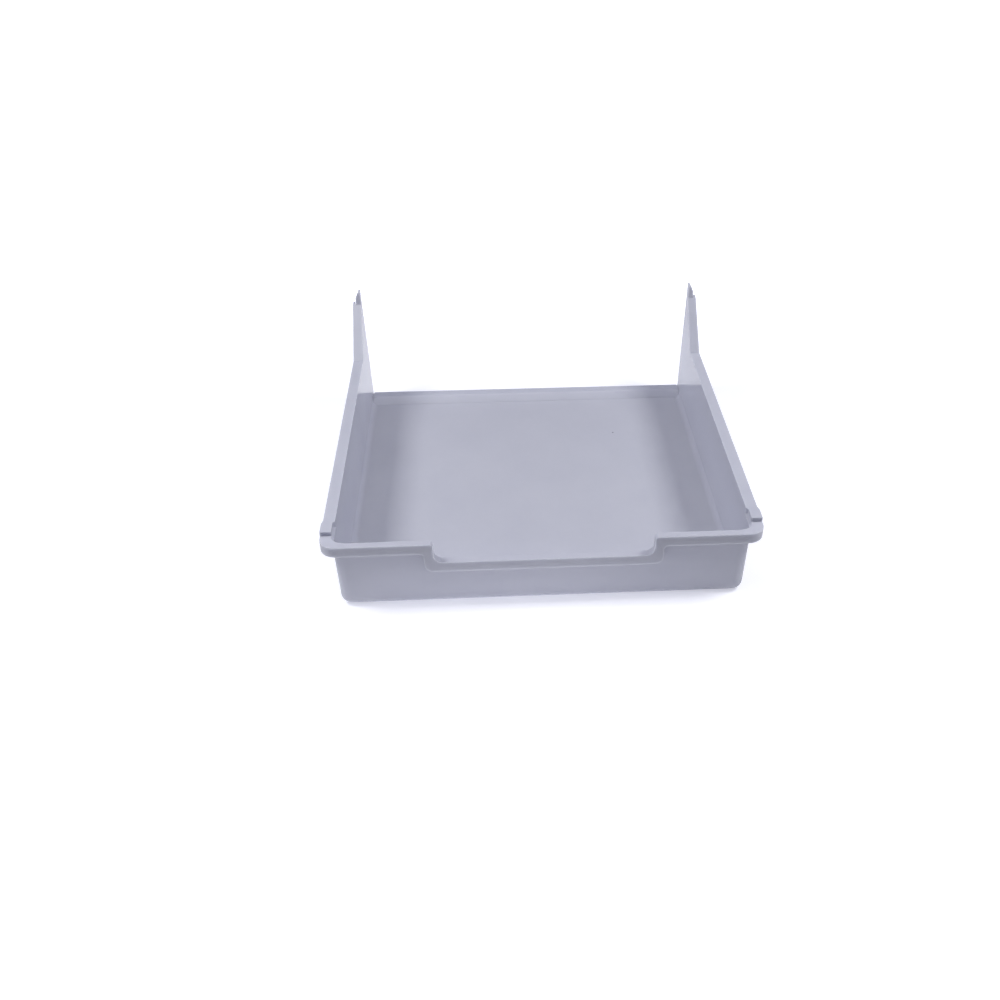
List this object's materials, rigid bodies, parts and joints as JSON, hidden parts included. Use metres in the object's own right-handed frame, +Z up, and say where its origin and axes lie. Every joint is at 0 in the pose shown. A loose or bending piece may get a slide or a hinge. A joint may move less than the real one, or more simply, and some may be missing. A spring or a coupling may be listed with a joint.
{
  "type": "freezer drawer",
  "caption": "Shallow moulded plastic freezer drawer: open tray with flanged rims, a dipped grip edge at one end and a low ledge between raised ears at the other.",
  "frame": {"origin": "centre of the overall box in plan, on the underside of the floor", "axes": "+X across the drawer, +Y from the dipped grip end to the eared end, +Z up"},
  "size_m": [0.438, 0.4328, 0.154],
  "materials": {
    "white_plastic": "cool white injection-moulded polystyrene, smooth satin gloss"
  },
  "bodies": {
    "root": {"drawer_tray": "white_plastic"}
  },
  "joints": []
}
